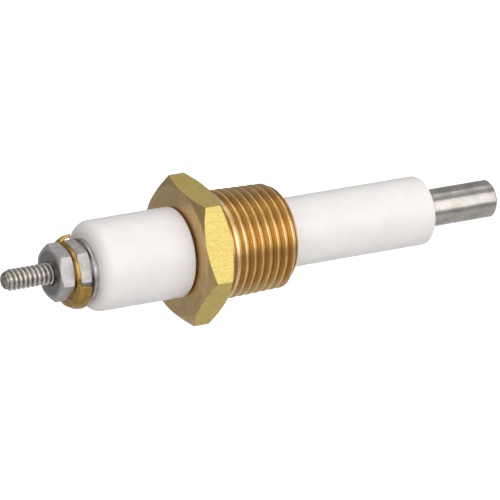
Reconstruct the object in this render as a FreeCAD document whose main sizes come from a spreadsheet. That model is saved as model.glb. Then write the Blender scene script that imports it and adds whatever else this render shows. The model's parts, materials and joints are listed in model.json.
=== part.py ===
"""Screw-in ignition electrode: a brass pipe bushing that clamps two ceramic
insulators around a steel rod, with a threaded terminal stud on the cold end.

Frame: the electrode's axis lies along X, from the terminal stud (-X) to the
tip of the rod (+X). Z is up and the bushing's hexagon has a flat facing down
and one facing up. The origin is on the axis, on the hexagon's face at the root
of the pipe thread, which is where a boiler wall ends. Lengths are millimetres.
"""
import FreeCAD, Part
import math
import os
import Sketcher

Vector = FreeCAD.Vector
OUT = "parts"

doc = FreeCAD.newDocument("IgnitionElectrode")
sheet = doc.addObject("Spreadsheet::Sheet", "Sizes")

# Every driving dimension: alias, value, what it is.
SIZES = [
    # brass bushing
    ("hex_flats", 20.64, "bushing hexagon across flats, 13/16 in"),
    ("hex_length", 4.5, "hexagon thickness"),
    ("hex_chamfer_drop", 0.95, "chamfer taken off the hexagon's corners, along the axis"),
    ("pipe_length", 13.15, "threaded length beyond the hexagon"),
    ("pipe_crest_start", 8.68, "crest radius of the pipe thread beside the hexagon"),
    ("pipe_slope", 0.03125, "radius lost per mm of thread, taper of 1 in 16"),
    ("pipe_pitch", 1.4111, "18 threads per inch"),
    ("pipe_depth", 0.90, "depth of the pipe thread"),
    ("pipe_crest_flat", 0.17, "width of the crest"),
    ("pipe_root_flat", 0.26, "width of the root"),
    ("pipe_end_chamfer", 1.0, "chamfer that leads the pipe thread in"),
    ("runout_start", 3.47, "where the full thread starts to fade out"),
    ("bush_bore", 5.56, "radius of the socket for the lower insulator"),
    ("ledge_hole", 3.30, "radius of the hole through the ledge"),
    ("ledge_face", 0.60, "far face of the ledge, beyond the hexagon's face"),
    ("seal_recess", 0.45, "depth of the seal's recess in the hexagon's face"),
    ("seal_recess_radius", 6.30, "radius of that recess"),
    # insulators
    ("upper_radius", 7.14, "upper insulator, 9/16 in"),
    ("upper_length", 15.90, "upper insulator's body"),
    ("upper_round", 1.90, "rounded cold edge of the upper insulator"),
    ("upper_foot_round", 0.45, "rounded edge against the hexagon"),
    ("upper_gap", 0.20, "gap between the upper insulator and the hexagon"),
    ("spigot_radius", 3.20, "spigot that passes through the ledge"),
    ("spigot_length", 4.60, "length of that spigot"),
    ("stud_hole", 1.90, "hole for the stud through both insulators"),
    ("lower_radius", 5.49, "lower insulator"),
    ("lower_end", 39.40, "hot end of the lower insulator"),
    ("lower_round", 0.75, "rounded hot edge of the lower insulator"),
    ("lower_step", 10.00, "shoulder inside the lower insulator that the rod pulls against"),
    ("rod_hole", 3.05, "rod's hole in the lower insulator"),
    # seals
    ("seal_thick", 0.65, "compressed thickness of the seal at the hexagon"),
    ("seal_inner", 3.70, "inner radius of the two insulator seals"),
    ("lower_seal_thick", 0.80, "seal between the ledge and the lower insulator"),
    ("lower_seal_outer", 5.30, "its outer radius"),
    ("rod_seal_thick", 0.80, "seal between the rod's end and the shoulder"),
    ("rod_seal_outer", 2.90, "its outer radius"),
    ("rod_seal_inner", 1.90, "its inner radius"),
    # rod and stud
    ("rod_radius", 2.985, "electrode rod"),
    ("rod_end", 52.10, "tip of the rod"),
    ("rod_chamfer", 0.30, "edge of the rod's tip"),
    ("tap_depth", 9.00, "drilled depth in the rod's cold end"),
    ("stud_tip", 34.67, "distance of the stud's tip behind the origin"),
    ("stud_far", 17.40, "far end of the stud, inside the rod"),
    ("stud_crest", 1.70, "crest radius of the stud, number 6 screw"),
    ("stud_root", 1.27, "root radius of the stud's thread"),
    ("stud_pitch", 0.79375, "32 threads per inch"),
    ("stud_crest_flat", 0.12, "width of the stud's crest"),
    ("stud_dome", 1.05, "length of the rounded tip"),
    ("stud_dome_radius", 1.22, "radius of the tip's flat"),
    ("stud_threaded", 14.60, "threaded length at the terminal end"),
    ("fit", 0.055, "clearance measured square to the thread's flanks"),
    ("tap_major", 1.78, "major radius of the tapped threads"),
    ("tap_minor", 1.34, "minor radius of the tapped threads"),
    # nuts and washers
    ("nut_flats", 7.94, "nuts across flats, 5/16 in"),
    ("nut_thick", 2.40, "thickness of the nuts"),
    ("nut_sink", 2.05, "mouth radius of the countersinks in the nuts"),
    ("outer_nut_turn", 3.8, "turn of the terminal nut, degrees"),
    ("inner_nut_turn", 1.0, "turn of the clamp nut, degrees"),
    ("washer_radius", 5.00, "flat washer"),
    ("washer_hole", 2.20, "hole of the flat washer"),
    ("washer_thick", 0.70, "thickness of the flat washer"),
    ("washer_drop", 0.45, "how far both washers hang below the axis"),
    ("cup_thick", 0.55, "sheet thickness of the cup washer"),
    ("cup_hole", 2.20, "hole of the cup washer"),
    ("cup_waist", 4.85, "radius of the cup washer between its ears"),
    ("cup_radius", 5.70, "outer radius of the ears"),
    ("cup_bend", 1.15, "outer radius of the ears' bend"),
    ("cup_reach", 2.05, "length of the ears along the axis, with the plate"),
    ("cup_flare", 0.15, "outward flare of the ears' tips"),
    ("near_gap_turn", 121.0, "direction of the wide gap between the ears, degrees from +Y"),
    ("near_gap_arc", 114.0, "arc of the wide gap, degrees"),
    ("far_gap_turn", -40.0, "direction of the narrow gap, degrees from +Y"),
    ("far_gap_arc", 76.0, "arc of the narrow gap, degrees"),
]
for row, (alias, value, note) in enumerate(SIZES, start=1):
    sheet.set("A%d" % row, alias)
    sheet.set("B%d" % row, str(value))
    sheet.set("C%d" % row, note)
    sheet.setAlias("B%d" % row, alias)

# Dimensions worked out from the driving ones: alias, formula.
TAN30 = "0.5773503"
DERIVED = [
    ("hex_corner", "hex_flats / 1.7320508"),
    ("nut_corner", "nut_flats / 1.7320508"),
    ("hex_back", "0 - hex_length"),
    ("upper_foot", "0 - hex_length - upper_gap"),
    ("upper_face", "0 - hex_length - upper_gap - upper_length"),
    ("washer_left", "upper_face - washer_thick"),
    ("inner_nut_left", "washer_left - nut_thick"),
    ("cup_left", "inner_nut_left - cup_thick"),
    ("outer_nut_left", "cup_left - nut_thick"),
    ("lower_start", "ledge_face + lower_seal_thick"),
    ("rod_start", "lower_step + rod_seal_thick"),
    ("pipe_crest_end", "pipe_crest_start - pipe_slope * pipe_length"),
    ("pipe_end_face", "pipe_crest_end - pipe_end_chamfer"),
    # half-widths of the V grooves at the crest's radius
    ("pipe_vee_half", "(pipe_pitch - pipe_crest_flat) / 2"),
    ("stud_vee_half", "(stud_pitch - stud_crest_flat) / 2"),
    ("stud_vee_root", "stud_vee_half - (stud_crest - stud_root) * " + TAN30),
    # tapped groove: as wide as the stud's ridge plus the clearance on each flank
    ("tap_side", "fit / 0.8660254"),
    ("tap_half_minor", "stud_crest_flat / 2 + (stud_crest - tap_minor) * " + TAN30 + " + tap_side"),
    ("tap_half_major", "stud_crest_flat / 2 + (stud_crest - tap_major) * " + TAN30 + " + tap_side"),
    # the stud's groove is centred on this plane, on the +Y side, one pitch outside its tip
    ("groove_datum", "0 - stud_tip - stud_pitch"),
    # how far inside each tapped piece the first ridge of the stud lies, on the +Y side
    ("outer_nut_phase", "mod(groove_datum - outer_nut_left + 60.5 * stud_pitch, stud_pitch)"),
    ("inner_nut_phase", "mod(groove_datum - inner_nut_left + 60.5 * stud_pitch, stud_pitch)"),
    ("rod_phase", "mod(groove_datum - rod_start + 0.5 * stud_pitch + 90 * stud_pitch, stud_pitch)"),
]
for row, (alias, formula) in enumerate(DERIVED, start=len(SIZES) + 2):
    sheet.set("A%d" % row, alias)
    sheet.set("B%d" % row, "=" + formula)
    sheet.setAlias("B%d" % row, alias)
doc.recompute()


def size(alias):
    """Value of one cell, as a plain number."""
    return float(sheet.get(alias))


def cells(formula):
    """Turn bare aliases in a formula into references to the sheet."""
    out, word = "", ""
    for ch in formula + " ":
        if ch.isalnum() or ch == "_":
            word += ch
            continue
        known = word in ALIASES
        out += ("Sizes." + word) if known else word
        out += ch
        word = ""
    return out.strip()


ALIASES = {alias for alias, _, _ in SIZES} | {alias for alias, _ in DERIVED}


def number(formula):
    """Value of a formula made of aliases, for a sketch's starting positions."""
    return float(sheet.evalExpression(cells(formula)))


# ---------------------------------------------------------------- helpers

def new_body(label, at=None):
    body = doc.addObject("PartDesign::Body", label)
    body.Label = label
    if at:
        body.setExpression("Placement.Base.x", cells(at))
    return body


def plane(body, role):
    return next(f for f in body.Origin.OriginFeatures if f.Role == role)


def new_sketch(body, name, role="XY_Plane"):
    sketch = body.newObject("Sketcher::SketchObject", name)
    sketch.AttachmentSupport = (plane(body, role), [""])
    sketch.MapMode = "FlatFace"
    return sketch


def pin_point(sketch, geo, end, axis, formula):
    """Dimension one end of an edge from the origin along one axis."""
    value = number(formula)
    kind = "DistanceX" if axis == "x" else "DistanceY"
    if abs(value) < 1e-9:
        other = -2 if axis == "x" else -1
        sketch.addConstraint(Sketcher.Constraint("PointOnObject", geo, end, other))
    elif value > 0:
        index = sketch.addConstraint(Sketcher.Constraint(kind, -1, 1, geo, end, value))
        sketch.setExpression("Constraints[%d]" % index, cells(formula))
    else:
        index = sketch.addConstraint(Sketcher.Constraint(kind, geo, end, -1, 1, -value))
        sketch.setExpression("Constraints[%d]" % index, cells("0 - (" + formula + ")"))


def outline(sketch, points):
    """Closed outline through points given as pairs of formulas."""
    spots = [Vector(number(a), number(b), 0) for a, b in points]
    count = len(spots)
    for i in range(count):
        sketch.addGeometry(Part.LineSegment(spots[i], spots[(i + 1) % count]), False)
    for i in range(count):
        sketch.addConstraint(Sketcher.Constraint("Coincident", i, 2, (i + 1) % count, 1))
    for i, (a, b) in enumerate(points):
        pin_point(sketch, i, 1, "x", a)
        pin_point(sketch, i, 1, "y", b)


def revolve(body, name, points, cut=False):
    """Turn a half section, drawn as (along the axis, radius), about X."""
    sketch = new_sketch(body, name + "Sketch")
    outline(sketch, points)
    kind = "PartDesign::Groove" if cut else "PartDesign::Revolution"
    feature = body.newObject(kind, name)
    feature.Profile = sketch
    feature.ReferenceAxis = (sketch, ["H_Axis"])
    feature.Angle = 360
    doc.recompute()
    return feature


def round_edges(body, name, base, spots, formula):
    """Fillet the circular edges at the given (along the axis, radius) spots."""
    names = []
    for i, edge in enumerate(base.Shape.Edges, start=1):
        curve = edge.Curve
        if not isinstance(curve, Part.Circle):
            continue
        here = (base.Placement.inverse().multVec(curve.Center).x, curve.Radius)
        if any(abs(here[0] - a) < 1e-4 and abs(here[1] - r) < 1e-4 for a, r in spots):
            names.append("Edge%d" % i)
    fillet = body.newObject("PartDesign::Fillet", name)
    fillet.Base = (base, names)
    fillet.setExpression("Radius", cells(formula))
    doc.recompute()
    return fillet


def hexagon(body, name, flats, length, turn="0"):
    """Hexagonal prism along +X; with no turn its flats face up and down."""
    sketch = new_sketch(body, name + "Sketch", "YZ_Plane")
    corner = number(flats) / math.sqrt(3)
    twist = math.radians(number(turn))
    spots = []
    for k in range(6):
        angle = twist + math.radians(60 * k)
        spots.append(Vector(corner * math.cos(angle), corner * math.sin(angle), 0))
    for k in range(6):
        sketch.addGeometry(Part.LineSegment(spots[k], spots[(k + 1) % 6]), False)
    circle = sketch.addGeometry(Part.Circle(Vector(), Vector(0, 0, 1), corner), True)
    spoke = sketch.addGeometry(Part.LineSegment(Vector(), spots[0]), True)
    for k in range(6):
        sketch.addConstraint(Sketcher.Constraint("Coincident", k, 2, (k + 1) % 6, 1))
    for k in range(6):
        sketch.addConstraint(Sketcher.Constraint("PointOnObject", k, 1, circle))
    for k in range(1, 6):
        sketch.addConstraint(Sketcher.Constraint("Equal", 0, k))
    sketch.addConstraint(Sketcher.Constraint("Coincident", circle, 3, -1, 1))
    sketch.addConstraint(Sketcher.Constraint("Coincident", spoke, 1, -1, 1))
    sketch.addConstraint(Sketcher.Constraint("Coincident", spoke, 2, 0, 1))
    index = sketch.addConstraint(Sketcher.Constraint("Radius", circle, corner))
    sketch.setExpression("Constraints[%d]" % index, cells("(" + flats + ") / 1.7320508"))
    if abs(twist) < 1e-9:
        sketch.addConstraint(Sketcher.Constraint("Horizontal", spoke))
    else:
        index = sketch.addConstraint(Sketcher.Constraint("Angle", -1, 1, spoke, 1, twist))
        sketch.setExpression("Constraints[%d]" % index, cells("(" + turn + ") * 1 deg"))
    pad = body.newObject("PartDesign::Pad", name)
    pad.Profile = sketch
    pad.setExpression("Length", cells(length))
    doc.recompute()
    return pad


def thread(body, name, points, height, pitch, angle=0.0, reverse=False):
    """Cut a right-handed helical groove with the outline given at the +Y side."""
    sketch = new_sketch(body, name + "Sketch")
    outline(sketch, points)
    before = body.Tip.Shape.Volume
    helix = body.newObject("PartDesign::SubtractiveHelix", name)
    helix.Profile = sketch
    helix.ReferenceAxis = (sketch, ["H_Axis"])
    helix.Mode = "pitch-height-angle"
    helix.setExpression("Pitch", cells(pitch))
    helix.setExpression("Height", cells(height))
    helix.Angle = angle
    helix.HasBeenEdited = True
    helix.Refine = False
    helix.LeftHanded = False
    helix.Reversed = reverse
    doc.recompute()
    assert helix.Shape.Volume < before - 0.5, name + " cut nothing"
    return helix


def cut_hex_corners(body, name, corner, length, drop):
    """Chamfer both ends of a hexagon, 30 degrees to its faces."""
    far = "(" + corner + ") + 1"
    reach = "(" + drop + ") + " + TAN30
    inner = "(" + corner + ") - (" + drop + ") / " + TAN30
    revolve(body, name + "A", [("0", inner), (reach, far), ("0", far)], cut=True)
    near = "(" + length + ")"
    revolve(body, name + "B",
            [(near, inner), (near, far), (near + " - (" + reach + ")", far)], cut=True)


def tapped_groove(phase, start_turns):
    """Outline of the groove that clears one ridge of the stud."""
    middle = "(" + phase + ") - " + start_turns + " * stud_pitch"
    return [
        (middle + " - tap_half_minor - 0.12 * " + TAN30, "tap_minor - 0.12"),
        (middle + " - tap_half_major", "tap_major"),
        (middle + " + tap_half_major", "tap_major"),
        (middle + " + tap_half_minor + 0.12 * " + TAN30, "tap_minor - 0.12"),
    ]


# ---------------------------------------------------------------- brass bushing

def pipe_groove(along):
    """Outline of the pipe thread's groove at a distance from the hexagon's face."""
    middle = "hex_length + " + along
    crest = "pipe_crest_start - pipe_slope * (" + along + ")"
    return [
        (middle + " - pipe_vee_half - 0.25 * " + TAN30, crest + " + 0.25"),
        (middle + " - pipe_root_flat / 2", crest + " - pipe_depth"),
        (middle + " + pipe_root_flat / 2", crest + " - pipe_depth"),
        (middle + " + pipe_vee_half + 0.25 * " + TAN30, crest + " + 0.25")]


def make_bushing():
    body = new_body("brass_bushing", "hex_back")
    hexagon(body, "Hex", "hex_flats", "hex_length")
    cut_hex_corners(body, "HexChamfer", "hex_corner", "hex_length", "hex_chamfer_drop")
    # tapered blank of the pipe thread, overlapping the hexagon a little
    revolve(body, "Barrel", [
        ("hex_length - 1", "0"),
        ("hex_length - 1", "pipe_crest_start"),
        ("hex_length", "pipe_crest_start"),
        ("hex_length + pipe_length - pipe_end_chamfer", "pipe_crest_end + pipe_slope * pipe_end_chamfer"),
        ("hex_length + pipe_length", "pipe_end_face"),
        ("hex_length + pipe_length", "0")])
    # the full thread is cut back from eight pitches beyond its fading part, which
    # lies outside the pipe, and the fading thread goes on from there to the hexagon
    taper = math.degrees(math.atan(size("pipe_slope")))
    thread(body, "PipeThread", pipe_groove("runout_start + 8 * pipe_pitch"),
           "8 * pipe_pitch", "pipe_pitch", taper, reverse=True)
    thread(body, "ThreadRunout", pipe_groove("runout_start"),
           "runout_start - 0.45", "pipe_pitch", 14.0, reverse=True)
    # bores: seal recess, hole through the ledge, socket for the lower insulator
    revolve(body, "Bores", [
        ("0 - 1", "0"), ("0 - 1", "seal_recess_radius"),
        ("seal_recess", "seal_recess_radius"), ("seal_recess", "ledge_hole"),
        ("hex_length + ledge_face", "ledge_hole"), ("hex_length + ledge_face", "bush_bore"),
        ("hex_length + pipe_length - 0.3", "bush_bore"),
        ("hex_length + pipe_length + 0.2", "bush_bore + 0.5"),
        ("hex_length + pipe_length + 0.2", "0")], cut=True)
    return body


# ---------------------------------------------------------------- insulators and seals

def make_upper_insulator():
    body = new_body("upper_insulator", "upper_face")
    turned = revolve(body, "Turned", [
        ("0", "stud_hole"), ("0", "upper_radius"),
        ("upper_length", "upper_radius"), ("upper_length", "spigot_radius"),
        ("upper_length + spigot_length", "spigot_radius"),
        ("upper_length + spigot_length", "stud_hole")])
    foot = round_edges(body, "FootRound", turned, [(size("upper_length"), size("upper_radius"))],
                       "upper_foot_round")
    round_edges(body, "TopRound", foot, [(0.0, size("upper_radius"))], "upper_round")
    return body


def make_lower_insulator():
    body = new_body("lower_insulator", "lower_start")
    length = "lower_end - lower_start"
    turned = revolve(body, "Turned", [
        ("0", "stud_hole"), ("0", "lower_radius"),
        (length, "lower_radius"), (length, "rod_hole"),
        ("lower_step - lower_start", "rod_hole"), ("lower_step - lower_start", "stud_hole")])
    end = size("lower_end") - size("lower_start")
    round_edges(body, "TipRound", turned, [(end, size("lower_radius"))], "lower_round")
    return body


def make_ring(label, at, inner, outer, thick):
    """Flat ring, a primitive disc with a primitive hole through it."""
    disc = doc.addObject("Part::Cylinder", label + "_disc")
    disc.setExpression("Radius", cells(outer))
    disc.setExpression("Height", cells(thick))
    hole = doc.addObject("Part::Cylinder", label + "_hole")
    hole.setExpression("Radius", cells(inner))
    hole.setExpression("Height", cells(thick) + " + 2")
    hole.Placement.Base.z = -1
    ring = doc.addObject("Part::Cut", label)
    ring.Base, ring.Tool = disc, hole
    ring.Label = label
    ring.Placement.Rotation = FreeCAD.Rotation(Vector(0, 1, 0), 90)
    ring.setExpression("Placement.Base.x", cells(at))
    return ring


# ---------------------------------------------------------------- rod and stud

def make_rod():
    body = new_body("electrode_rod", "rod_start")
    length = "rod_end - rod_start"
    revolve(body, "Turned", [
        ("0", "tap_minor + 0.35"), ("0", "rod_radius"),
        (length + " - rod_chamfer", "rod_radius"), (length, "rod_radius - rod_chamfer"),
        (length, "0"), ("tap_depth + 0.7", "0"), ("tap_depth", "tap_minor"),
        ("0.35", "tap_minor")])
    thread(body, "Tapping", tapped_groove("rod_phase", "1"), "tap_depth - 0.2", "stud_pitch")
    return body


def stud_groove(middle):
    """Outline of the stud's groove, carried a little beyond its crest."""
    return [
        (middle + " - stud_vee_half - 0.12 * " + TAN30, "stud_crest + 0.12"),
        (middle + " - stud_vee_root", "stud_root"),
        (middle + " + stud_vee_root", "stud_root"),
        (middle + " + stud_vee_half + 0.12 * " + TAN30, "stud_crest + 0.12")]


def make_stud():
    """Double-ended stud: threaded for the terminal nuts and into the rod."""
    body = new_body("terminal_stud", "0 - stud_tip")
    length = "stud_tip + stud_far"
    revolve(body, "Turned", [
        ("0", "0"), ("0", "stud_dome_radius * 0.8"), ("0.15", "stud_dome_radius"),
        ("stud_dome", "stud_crest"), (length + " - 0.5", "stud_crest"),
        (length, "stud_crest - 0.5"), (length, "0")])
    # the terminal end's groove starts one pitch outside the tip
    thread(body, "TerminalThread", stud_groove("0 - stud_pitch"), "stud_threaded", "stud_pitch")
    # the rod end's groove keeps the phase of the first one
    rod_groove = "stud_pitch * ceil((stud_tip + rod_start) / stud_pitch - 2)"
    thread(body, "RodThread", stud_groove(rod_groove), "stud_far - rod_start + 2.4", "stud_pitch")
    return body


# ---------------------------------------------------------------- nuts and washers

def make_nut(label, at, turn, phase):
    body = new_body(label, at)
    hexagon(body, "Hex", "nut_flats", "nut_thick", turn)
    cut_hex_corners(body, "Corner", "nut_corner", "nut_thick", "0.36")
    sink = "(nut_sink - tap_minor) * 0.7"
    revolve(body, "Hole", [
        ("0", "0"), ("0", "nut_sink"), (sink, "tap_minor"),
        ("nut_thick - (" + sink + ")", "tap_minor"), ("nut_thick", "nut_sink"),
        ("nut_thick", "0")], cut=True)
    thread(body, "Tapping", tapped_groove(phase, "2"), "nut_thick + 3 * stud_pitch", "stud_pitch")
    return body


def gap_sector(sketch, turn, arc):
    """Sector from the waist outwards, over the arc of one gap between the ears."""
    low = math.radians(size(turn) - size(arc) / 2)
    high = math.radians(size(turn) + size(arc) / 2)
    waist, far = size("cup_waist"), size("cup_radius") + 2
    circles = [Part.Circle(Vector(), Vector(0, 0, 1), radius) for radius in (waist, far)]
    inner, outer = [
        sketch.addGeometry(Part.ArcOfCircle(circle, low, high), False) for circle in circles]
    sides = []
    for angle in (low, high):
        way = Vector(math.cos(angle), math.sin(angle), 0)
        sides.append(sketch.addGeometry(Part.LineSegment(way * waist, way * far), False))
    pairs = [((inner, 3), (-1, 1)), ((outer, 3), (-1, 1))]
    for end, side in enumerate(sides, start=1):
        pairs += [((side, 1), (inner, end)), ((side, 2), (outer, end))]
    for a, b in pairs:
        sketch.addConstraint(Sketcher.Constraint("Coincident", a[0], a[1], b[0], b[1]))
    for geo, formula in ((inner, "cup_waist"), (outer, "cup_radius + 2")):
        index = sketch.addConstraint(Sketcher.Constraint("Radius", geo, number(formula)))
        sketch.setExpression("Constraints[%d]" % index, cells(formula))
    for side, sign in zip(sides, "-+"):
        formula = turn + " " + sign + " " + arc + " / 2"
        index = sketch.addConstraint(Sketcher.Constraint(
            "Angle", -1, 1, side, 1, math.radians(number(formula))))
        sketch.setExpression("Constraints[%d]" % index, cells("(" + formula + ") * 1 deg"))


def make_cup_washer():
    """Pressed washer whose two ears bend over to keep the wire under the nut."""
    body = new_body("cup_washer", "cup_left")
    body.setExpression("Placement.Base.z", cells("0 - washer_drop"))
    revolve(body, "Cup", [
        ("0", "cup_hole"), ("0", "cup_radius - cup_bend * 0.9"),
        ("cup_bend * 0.24", "cup_radius - cup_bend * 0.38"),
        ("cup_bend * 0.95", "cup_radius"), ("cup_reach", "cup_radius + cup_flare"),
        ("cup_reach", "cup_radius + cup_flare - cup_thick"),
        ("cup_bend * 0.95 + 0.12", "cup_radius - cup_thick"),
        ("cup_thick + cup_bend * 0.10", "cup_radius - cup_bend * 0.72"),
        ("cup_thick", "cup_radius - cup_bend * 1.02"), ("cup_thick", "cup_hole")])
    # the two gaps between the ears are pocketed away down to the waist
    sketch = new_sketch(body, "GapSketch", "YZ_Plane")
    gap_sector(sketch, "near_gap_turn", "near_gap_arc")
    gap_sector(sketch, "far_gap_turn", "far_gap_arc")
    before = body.Tip.Shape.Volume
    pocket = body.newObject("PartDesign::Pocket", "Gaps")
    pocket.Profile = sketch
    pocket.Type = "Length"
    pocket.Length = 20
    pocket.Midplane = True
    doc.recompute()
    assert pocket.Shape.Volume < before - 1, "the gaps cut nothing"
    return body


# ---------------------------------------------------------------- the assembly

parts = [
    make_bushing(),
    make_upper_insulator(),
    make_lower_insulator(),
    make_ring("upper_seal", "0 - hex_length + seal_recess - seal_thick",
              "seal_inner", "seal_recess_radius - 0.1", "seal_thick"),
    make_ring("lower_seal", "ledge_face", "seal_inner", "lower_seal_outer", "lower_seal_thick"),
    make_ring("rod_seal", "lower_step", "rod_seal_inner", "rod_seal_outer", "rod_seal_thick"),
    make_rod(),
    make_stud(),
    make_nut("inner_nut", "inner_nut_left", "inner_nut_turn", "inner_nut_phase"),
    make_cup_washer(),
    make_nut("outer_nut", "outer_nut_left", "outer_nut_turn", "outer_nut_phase"),
]
flat = make_ring("flat_washer", "washer_left", "washer_hole", "washer_radius", "washer_thick")
flat.setExpression("Placement.Base.z", cells("0 - washer_drop"))
parts.append(flat)
doc.recompute()

bad = [o.Label + " " + ",".join(o.State) for o in doc.Objects
       if "Invalid" in o.State or "Error" in o.State]
assert not bad, bad
for part in parts:
    shape = part.Shape
    assert not shape.isNull() and shape.isValid() and len(shape.Solids) == 1, part.Label

os.makedirs(OUT, exist_ok=True)
for part in parts:
    part.Shape.exportStep(os.path.join(OUT, part.Label + ".step"))
    box = part.Shape.BoundBox
    print("%-16s vol %9.2f  x %7.2f %7.2f  y %6.2f %6.2f  z %6.2f %6.2f" % (
        part.Label, part.Shape.Volume, box.XMin, box.XMax, box.YMin, box.YMax, box.ZMin, box.ZMax))
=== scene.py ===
import json
import math

import bpy
from mathutils import Matrix, Vector

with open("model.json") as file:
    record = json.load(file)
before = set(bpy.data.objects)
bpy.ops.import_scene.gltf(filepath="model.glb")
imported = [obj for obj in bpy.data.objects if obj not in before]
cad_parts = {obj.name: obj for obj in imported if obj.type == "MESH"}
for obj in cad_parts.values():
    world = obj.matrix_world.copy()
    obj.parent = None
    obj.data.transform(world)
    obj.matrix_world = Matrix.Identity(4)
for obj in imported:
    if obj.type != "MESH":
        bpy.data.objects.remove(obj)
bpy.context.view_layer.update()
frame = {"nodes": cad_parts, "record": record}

MM = 0.001
MM_PER_METRE = 1000
scene = bpy.context.scene
nodes = frame["nodes"]

# Places on the object where painted shade and painted highlight change, in millimetres from
# the axis.
PIPE_CREST = 8.68           # crest of the pipe thread at the hexagon's face, x = 0
PIPE_TAPER = 1 / 32         # the crest's radius lost per millimetre of x
STUD_CREST = 1.70           # just inside the crest of the stud's thread
NUT_FACE_SHADE = (3.75, 3.25)     # the painted shade on the nuts' end faces fades in between these radii
NUT_HOLE_SHADE = (2.15, 1.75)     # and the painted shade in their countersinks between these

FLOOR_HEIGHT = -0.30        # metres
FLOOR_HALF = 3.0

# Name, direction from the object, distance (m), width and height (m), power (W).
PANELS = (
    ("key", (0.45, -0.80, 0.50), 0.9, (1.2, 0.8), 4.1),
    ("top", (0.05, 0.15, 1.0), 0.9, (0.9, 0.7), 2.2),
    ("fill", (-0.9, -0.45, 0.25), 1.0, (0.5, 0.6), 1.3),
    ("front", (-0.40, -0.76, 0.62), 1.3, (0.8, 0.5), 3.0),
)
BACKDROP_AT = (0.31, 0.50)  # spot on the floor that the camera sees behind the object
BACKDROP_HEIGHT = 0.8
BACKDROP_SPREAD = math.radians(60)
BACKDROP_SOFTNESS = 0.05
BACKDROP_POWER = 34
WORLD_COLOR = (0.9, 0.92, 0.95, 1)
WORLD_STRENGTH = 0.40

AZIMUTH, ELEVATION, ROLL = (math.radians(a) for a in (31.575, 26.914, -5.781))
CAMERA_TARGET = (7.05, -2.93, -0.23)    # millimetres
CAMERA_DISTANCE = 1.01045
CAMERA_LENS = 468
CAMERA_SENSOR = 36
CAMERA_CLIP = (0.05, 20)


# ------------------------------------------------------------------ node helpers

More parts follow.
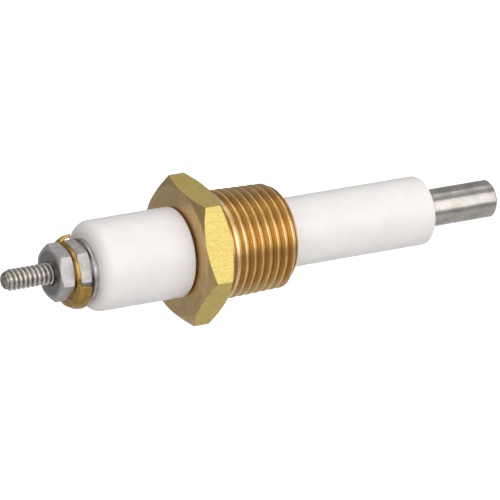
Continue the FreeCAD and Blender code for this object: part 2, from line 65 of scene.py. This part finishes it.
class Recipe:
    """A material being put together from shader nodes."""

    def __init__(self, name):
        self.material = bpy.data.materials.new(name)
        self.material.use_nodes = True
        self.tree = self.material.node_tree
        self.tree.nodes.clear()
        output = self.tree.nodes.new("ShaderNodeOutputMaterial")
        self.shader = self.tree.nodes.new("ShaderNodeBsdfPrincipled")
        self.link(self.shader.outputs["BSDF"], output.inputs["Surface"])
        coords = self.tree.nodes.new("ShaderNodeTexCoord")
        # self.mm is the place on the object in millimetres, and x runs along its axis
        self.mm = self.scaled(coords.outputs["Object"], MM_PER_METRE)
        self.x, self.y, self.z = self.split(self.mm)
        self.radius = self.math("SQRT", self.math("ADD", self.times(self.y, self.y),
                                                  self.times(self.z, self.z)))
        self.angle = self.math("ARCTAN2", self.z, self.y)
        self.nx = self.split(coords.outputs["Normal"])[0]

    def link(self, a, b):
        self.tree.links.new(a, b)

    def feed(self, socket, value):
        if isinstance(value, bpy.types.NodeSocket):
            self.link(value, socket)
        else:
            socket.default_value = value

    def add(self, kind, **inputs):
        node = self.tree.nodes.new(kind)
        for key, value in inputs.items():
            self.feed(node.inputs[key.replace("_", " ")], value)
        return node

    def math(self, operation, a, b=None):
        node = self.tree.nodes.new("ShaderNodeMath")
        node.operation = operation
        for i, value in enumerate((a, b)):
            if value is not None:
                self.feed(node.inputs[i], value)
        return node.outputs[0]

    def times(self, a, b):
        return self.math("MULTIPLY", a, b)

    def scaled(self, vector, factor):
        node = self.tree.nodes.new("ShaderNodeVectorMath")
        node.operation = "MULTIPLY"
        self.feed(node.inputs[0], vector)
        self.feed(node.inputs[1], (factor, factor, factor))
        return node.outputs[0]

    def split(self, vector):
        node = self.add("ShaderNodeSeparateXYZ", Vector=vector)
        return node.outputs[0], node.outputs[1], node.outputs[2]

    def place(self, x, y, z):
        node = self.add("ShaderNodeCombineXYZ")
        for i, value in enumerate((x, y, z)):
            self.feed(node.inputs[i], value)
        return node.outputs[0]

    def noise(self, at, scale, detail=3.0, rough=0.55, distortion=0.0):
        node = self.add("ShaderNodeTexNoise", Vector=at, Scale=scale, Detail=detail,
                        Roughness=rough, Distortion=distortion)
        return node.outputs["Fac"]

    def drawn_lines(self, along, across):
        """Noise drawn out along the axis, as on drawn bar and rod."""
        return self.noise(self.place(self.times(self.x, along), self.times(self.y, across),
                                     self.times(self.z, across)), 1.0, 4.0, 0.65)

    def band(self, value, low, high, to_low=0.0, to_high=1.0):
        """Smooth ramp of a value from one range to another, held at its ends."""
        node = self.tree.nodes.new("ShaderNodeMapRange")
        node.interpolation_type = "SMOOTHSTEP"
        for key, v in (("Value", value), ("From Min", low), ("From Max", high),
                       ("To Min", to_low), ("To Max", to_high)):
            self.feed(node.inputs[key], v)
        return node.outputs[0]

    def spread(self, noise, to_low=0.0, to_high=1.0):
        """A noise's middle range, where nearly all of it lies, spread over a new one."""
        return self.band(noise, 0.3, 0.7, to_low, to_high)

    def mix(self, factor, a, b):
        node = self.tree.nodes.new("ShaderNodeMix")
        node.data_type = "RGBA"
        self.feed(node.inputs[0], factor)
        for i, color in ((6, a), (7, b)):
            is_socket = isinstance(color, bpy.types.NodeSocket)
            self.feed(node.inputs[i], color if is_socket else (*color, 1.0))
        return node.outputs[2]

    def bump(self, heights, edge=0.0):
        """Surface relief: pairs of (height, depth in mm), over edges softened by edge mm."""
        normal = None
        if edge:
            node = self.add("ShaderNodeBevel", Radius=edge * MM)
            node.samples = 6
            normal = node.outputs[0]
        for height, depth in heights:
            node = self.add("ShaderNodeBump", Height=height, Distance=depth * MM, Strength=1.0)
            if normal is not None:
                self.link(normal, node.inputs["Normal"])
            normal = node.outputs[0]
        self.link(normal, self.shader.inputs["Normal"])

    def finish(self, color, rough, metal=1.0, **extra):
        self.feed(self.shader.inputs["Base Color"], color)
        self.feed(self.shader.inputs["Roughness"], rough)
        self.feed(self.shader.inputs["Metallic"], metal)
        for key, value in extra.items():
            self.feed(self.shader.inputs[key.replace("_", " ")], value)
        return self.material


# ------------------------------------------------------------------ materials

def bushing_brass():
    """Brass bar: drawn hexagon flats, a turned face darkened by painted shade, and a cut pipe
    thread with painted highlights on its crests and painted shade in its grooves and roots.
    """
    r = Recipe("bushing_brass")
    on_hex = r.band(r.x, 0.05, -0.05)
    facing = r.math("ABSOLUTE", r.nx)
    flat = r.times(on_hex, r.band(facing, 0.3, 0.1))
    grain = r.noise(r.place(r.times(r.x, 0.35), r.y, r.z), 6.0, 5.0, 0.65)
    cloud = r.noise(r.mm, 0.55, 3.0)
    speck = r.math("MAXIMUM", r.band(r.noise(r.mm, 3.1, 2.0, 0.7), 0.64, 0.72),
                   r.band(r.noise(r.mm, 7.5, 2.0, 0.7), 0.62, 0.70))
    drawn = r.drawn_lines(0.4, 5.0)
    rings = r.noise(r.place(r.times(r.radius, 9.0), r.times(r.x, 9.0), 0.0), 1.0, 4.0, 0.7)
    # how far a point lies below the tapered crest of the thread
    crest = r.math("SUBTRACT", PIPE_CREST, r.times(r.x, PIPE_TAPER))
    depth = r.math("SUBTRACT", crest, r.radius)
    # the thread is painted lighter at its crests as a painted highlight, and darker in its
    # grooves and roots as painted shade
    groove_shade = r.band(depth, 0.0, 0.18)
    root_shade = r.band(depth, 0.45, 0.90)
    flats = r.mix(r.spread(grain), (0.62, 0.47, 0.145), (0.88, 0.71, 0.235))
    flats = r.mix(r.band(drawn, 0.42, 0.72, 0.0, 0.45), flats, (0.54, 0.40, 0.14))
    flats = r.mix(r.times(speck, 0.6), flats, (0.33, 0.23, 0.09))
    # turned faces: real turning rings, painted darker than the flats as painted shade
    turned = r.mix(r.spread(rings), (0.54, 0.365, 0.165), (0.72, 0.51, 0.24))
    turned = r.mix(r.band(cloud, 0.35, 0.65, 0.0, 0.4), turned, (0.44, 0.29, 0.13))
    # painted highlight on the crests and painted shade in the grooves and roots, then random
    # clouding
    thread = r.mix(groove_shade, (0.90, 0.69, 0.40), (0.69, 0.455, 0.175))
    thread = r.mix(r.times(root_shade, 0.45), thread, (0.43, 0.27, 0.10))
    thread = r.mix(r.band(cloud, 0.4, 0.7, 0.0, 0.35), thread, (0.50, 0.29, 0.10))
    body = r.mix(on_hex, thread, turned)
    color = r.mix(flat, body, flats)
    rough = r.math("ADD", r.band(grain, 0.2, 0.8, 0.24, 0.36), r.times(flat, 0.19))
    r.bump([(rings, 0.012), (grain, 0.018), (drawn, 0.012)], edge=0.06)
    return r.finish(color, rough)


def insulator_white():
    """Dense unglazed white ceramic with a satin skin, faint turning marks and dust."""
    r = Recipe("insulator_white")
    cloud = r.noise(r.mm, 0.25, 3.0)
    grain = r.noise(r.mm, 9.0, 4.0, 0.6)
    turning = r.noise(r.place(r.times(r.x, 5.0), r.times(r.angle, 0.4), r.radius),
                      1.0, 3.0, 0.6)
    color = r.mix(r.spread(cloud), (0.905, 0.860, 0.830), (0.940, 0.900, 0.875))
    dust = r.band(r.noise(r.mm, 2.4, 2.0, 0.7), 0.70, 0.76)
    color = r.mix(r.times(dust, 0.12), color, (0.55, 0.50, 0.45))
    rough = r.spread(grain, 0.34, 0.44)
    r.bump([(turning, 0.006), (grain, 0.004)], edge=0.08)
    return r.finish(color, rough, 0.0, Subsurface_Weight=0.15, Subsurface_Scale=0.0015,
                    Specular_IOR_Level=0.45)


def seal_fibre():
    """Dark compressed fibre ring."""
    r = Recipe("seal_fibre")
    fibre = r.noise(r.mm, 7.0, 5.0, 0.7, 0.8)
    color = r.mix(fibre, (0.035, 0.03, 0.027), (0.10, 0.085, 0.07))
    r.bump([(fibre, 0.03)])
    return r.finish(color, 0.85, 0.0)


def rod_steel():
    """Drawn steel rod, satin, with faint lines along it."""
    r = Recipe("rod_steel")
    lines = r.drawn_lines(0.25, 6.0)
    cloud = r.noise(r.mm, 0.4, 3.0)
    fine = r.noise(r.mm, 14.0, 3.0)
    color = r.mix(r.spread(cloud), (0.44, 0.405, 0.365), (0.59, 0.55, 0.50))
    rough = r.math("ADD", r.spread(lines, 0.18, 0.26), r.times(fine, 0.05))
    r.bump([(lines, 0.006), (fine, 0.003)], edge=0.08)
    return r.finish(color, rough)


def stud_steel():
    """Steel thread, painted duller and browner down in the grooves as painted shade."""
    r = Recipe("stud_steel")
    groove_shade = r.band(r.math("SUBTRACT", STUD_CREST, r.radius), 0.04, 0.36)
    groove_shade_noise = r.noise(r.mm, 1.6, 4.0, 0.6)
    fine = r.noise(r.mm, 11.0, 4.0, 0.65)
    color = r.mix(r.spread(fine), (0.72, 0.675, 0.61), (0.90, 0.86, 0.80))
    # painted shade in the thread's grooves, made uneven by noise
    uneven_groove_shade = r.times(groove_shade, r.band(groove_shade_noise, 0.25, 0.6, 0.40, 0.80))
    color = r.mix(uneven_groove_shade, color, (0.14, 0.115, 0.09))
    r.bump([(fine, 0.012)], edge=0.04)
    return r.finish(color, r.spread(fine, 0.26, 0.42))


def nut_steel():
    """Plated nut: pale drawn flats, end faces darkened by painted shade, and countersinks
    darkened by painted shade.
    """
    r = Recipe("nut_steel")
    facing = r.math("ABSOLUTE", r.nx)
    # painted shade darkens the end faces inside their outer rim
    face = r.times(r.band(facing, 0.35, 0.75), r.band(r.radius, *NUT_FACE_SHADE))
    grain = r.noise(r.place(r.times(r.x, 0.5), r.y, r.z), 9.0, 4.0, 0.6)
    cloud = r.noise(r.mm, 0.9, 3.0)
    rings = r.noise(r.place(r.times(r.radius, 12.0), 0.0, 0.0), 1.0, 3.0, 0.7)
    side = r.mix(r.spread(cloud), (0.50, 0.475, 0.46), (0.62, 0.595, 0.575))
    end = r.mix(r.spread(rings), (0.17, 0.16, 0.155), (0.38, 0.365, 0.35))
    color = r.mix(face, side, end)
    # painted shade in the countersinks around the stud
    hole_shade = r.band(r.radius, *NUT_HOLE_SHADE)
    color = r.mix(r.times(hole_shade, 0.7), color, (0.14, 0.12, 0.10))
    rough = r.math("SUBTRACT", r.spread(grain, 0.51, 0.61), r.times(face, 0.21))
    r.bump([(grain, 0.010), (rings, 0.008)], edge=0.22)
    return r.finish(color, rough)


def washer_steel():
    """Plain steel washer, lightly clouded."""
    r = Recipe("washer_steel")
    fine = r.noise(r.mm, 10.0, 4.0, 0.6)
    cloud = r.noise(r.mm, 1.0, 3.0)
    color = r.mix(r.spread(cloud), (0.46, 0.44, 0.42), (0.60, 0.58, 0.56))
    r.bump([(fine, 0.01)], edge=0.12)
    return r.finish(color, r.spread(fine, 0.28, 0.42))


def cup_brass():
    """Pressed sheet brass with clouded colour and browner grain."""
    r = Recipe("cup_brass")
    grain = r.noise(r.mm, 8.0, 5.0, 0.65)
    cloud = r.noise(r.mm, 0.8, 4.0, 0.6)
    color = r.mix(r.spread(cloud), (0.37, 0.22, 0.052), (0.59, 0.38, 0.112))
    color = r.mix(r.band(grain, 0.45, 0.75, 0.0, 0.35), color, (0.27, 0.16, 0.05))
    r.bump([(grain, 0.012)], edge=0.14)
    return r.finish(color, r.spread(grain, 0.22, 0.36))


def pale_floor():
    """Matt pale grey, slightly uneven over every 50 mm or so."""
    r = Recipe("pale_floor")
    fleck = r.noise(r.mm, 0.02, 2.0)
    color = r.mix(fleck, (0.68, 0.68, 0.68), (0.72, 0.72, 0.72))
    return r.finish(color, 0.9, 0.0, Specular_IOR_Level=0.0)


MATERIALS = {
    "bushing_brass": bushing_brass(),
    "insulator_white": insulator_white(),
    "seal_fibre": seal_fibre(),
    "rod_steel": rod_steel(),
    "stud_steel": stud_steel(),
    "nut_steel": nut_steel(),
    "washer_steel": washer_steel(),
    "cup_brass": cup_brass(),
}
for part in frame["record"]["subparts"]:
    for slot in nodes[part["node"]].material_slots:
        slot.material = MATERIALS[part["material_slot"]]


# ------------------------------------------------------------------ floor, light and camera

def put(name, data):
    thing = bpy.data.objects.new(name, data)
    scene.collection.objects.link(thing)
    return thing


def aim(direction, up):
    """Rotation of a camera or light that looks along direction."""
    back = -Vector(direction).normalized()
    side = Vector(up).cross(back).normalized()
    top = back.cross(side)
    return Matrix((side, top, back)).transposed().to_4x4()


def add_floor():
    mesh = bpy.data.meshes.new("floor")
    corners = ((-1, -1), (1, -1), (1, 1), (-1, 1))
    mesh.from_pydata([(x * FLOOR_HALF, y * FLOOR_HALF, FLOOR_HEIGHT) for x, y in corners],
                     [], [(0, 1, 2, 3)])
    mesh.materials.append(pale_floor())
    put("floor", mesh)


def add_backdrop_lamp():
    """Lamp over the floor behind the object, for a soft pool of light there."""
    data = bpy.data.lights.new("backdrop", "SPOT")
    data.spot_size, data.spot_blend = BACKDROP_SPREAD, 1.0
    data.shadow_soft_size = BACKDROP_SOFTNESS
    data.energy = BACKDROP_POWER
    put("backdrop", data).location = (*BACKDROP_AT, FLOOR_HEIGHT + BACKDROP_HEIGHT)


def add_panel(name, toward, distance, size, power):
    """Soft panel light in a direction from the object, facing it."""
    data = bpy.data.lights.new(name, "AREA")
    data.shape = "RECTANGLE"
    data.size, data.size_y = size
    data.energy = power
    direction = Vector(toward).normalized()
    put(name, data).matrix_world = (Matrix.Translation(direction * distance)
                                    @ aim(-direction, (0, 0, 1)))


def light_world():
    world = bpy.data.worlds.new("studio")
    world.use_nodes = True
    background = world.node_tree.nodes["Background"]
    background.inputs["Color"].default_value = WORLD_COLOR
    background.inputs["Strength"].default_value = WORLD_STRENGTH
    scene.world = world
    scene.view_settings.view_transform = "Standard"


def add_camera():
    """Camera at the photo's angle, rolled by a few degrees."""
    forward = Vector((math.sin(AZIMUTH) * math.cos(ELEVATION),
                      math.cos(AZIMUTH) * math.cos(ELEVATION), -math.sin(ELEVATION)))
    level = Vector((math.cos(AZIMUTH), -math.sin(AZIMUTH), 0))
    up = level.cross(forward) * math.cos(ROLL) + level * math.sin(ROLL)
    data = bpy.data.cameras.new("camera")
    data.sensor_width = CAMERA_SENSOR
    data.lens = CAMERA_LENS
    data.clip_start, data.clip_end = CAMERA_CLIP
    camera = put("camera", data)
    target = Vector(CAMERA_TARGET) * MM
    camera.matrix_world = (Matrix.Translation(target - forward * CAMERA_DISTANCE)
                           @ aim(forward, up))
    scene.camera = camera


add_floor()
add_backdrop_lamp()
for panel in PANELS:
    add_panel(*panel)
light_world()
add_camera()
